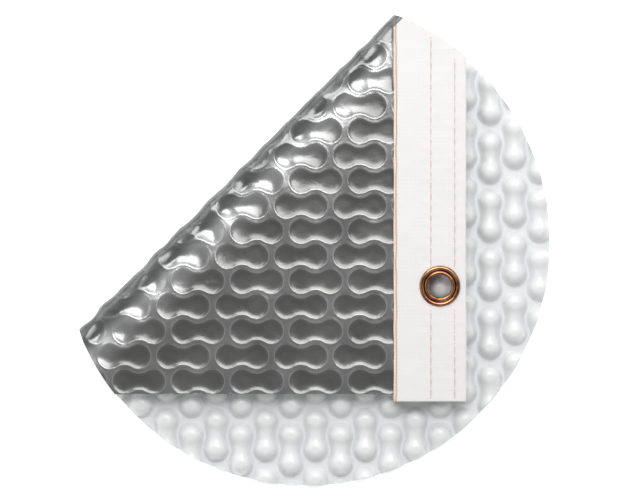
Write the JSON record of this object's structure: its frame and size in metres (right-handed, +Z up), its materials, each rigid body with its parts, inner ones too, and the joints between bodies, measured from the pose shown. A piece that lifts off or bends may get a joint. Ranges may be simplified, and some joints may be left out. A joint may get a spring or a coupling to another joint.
{
  "type": "pool solar blanket sample",
  "caption": "Round sample of a bubble-film pool solar blanket with a folded-over corner, a sewn white hem and a metal eyelet; the corner unfolds flat.",
  "frame": {"origin": "centre of the round outline, on the underside that lies on the floor", "axes": "+Z up out of the main panel's bubble side; +X towards the hem's outer edge; +Y along the hem, towards the fold"},
  "size_m": [0.2476, 0.2476, 0.0164],
  "materials": {
    "backing_film": "silver-grey polyethylene film, satin",
    "bubble_film": "pearl white polyethylene film, glossy",
    "hem_fabric": "white coated woven fabric, satin",
    "hem_tape": "cream woven tape, matt",
    "sewing_thread": "twisted polyester thread",
    "copper_plate": "copper-plated pressed brass, polished"
  },
  "bodies": {
    "main_panel": {"backing_film_main": "backing_film", "bubble_film_main": "bubble_film"},
    "fold_strip_1": {"backing_film_fold_1": "backing_film", "bubble_film_fold_1": "bubble_film"},
    "fold_strip_2": {"backing_film_fold_2": "backing_film", "bubble_film_fold_2": "bubble_film"},
    "fold_strip_3": {"backing_film_fold_3": "backing_film", "bubble_film_fold_3": "bubble_film"},
    "folded_corner": {"backing_film_flap": "backing_film", "bubble_film_flap": "bubble_film", "hem_band": "hem_fabric", "hem_lining": "hem_tape", "needle_thread_inner": "sewing_thread", "bobbin_thread_inner": "sewing_thread", "needle_thread_outer": "sewing_thread", "bobbin_thread_outer": "sewing_thread", "eyelet": "copper_plate", "eyelet_washer": "copper_plate"}
  },
  "joints": [
    {"name": "fold_hinge_1", "type": "hinge", "parent": "main_panel", "child": "fold_strip_1", "pos_m": [-0.03408, 0.03408, 0], "axis": [-0.7071, -0.7071, 0], "range_deg": [0, 45]},
    {"name": "fold_hinge_2", "type": "hinge", "parent": "fold_strip_1", "child": "fold_strip_2", "pos_m": [-0.03698, 0.03698, 0.0041], "axis": [-0.7071, -0.7071, 0], "range_deg": [0, 45]},
    {"name": "fold_hinge_3", "type": "hinge", "parent": "fold_strip_2", "child": "fold_strip_3", "pos_m": [-0.03698, 0.03698, 0.0099], "axis": [-0.7071, -0.7071, 0], "range_deg": [0, 45]},
    {"name": "fold_hinge_4", "type": "hinge", "parent": "fold_strip_3", "child": "folded_corner", "pos_m": [-0.03408, 0.03408, 0.014], "axis": [-0.7071, -0.7071, 0], "range_deg": [0, 45]}
  ],
  "couplings": [
    {"joint": "fold_hinge_2", "follows": "fold_hinge_1", "ratio": 1},
    {"joint": "fold_hinge_3", "follows": "fold_hinge_1", "ratio": 1},
    {"joint": "fold_hinge_4", "follows": "fold_hinge_1", "ratio": 1}
  ]
}
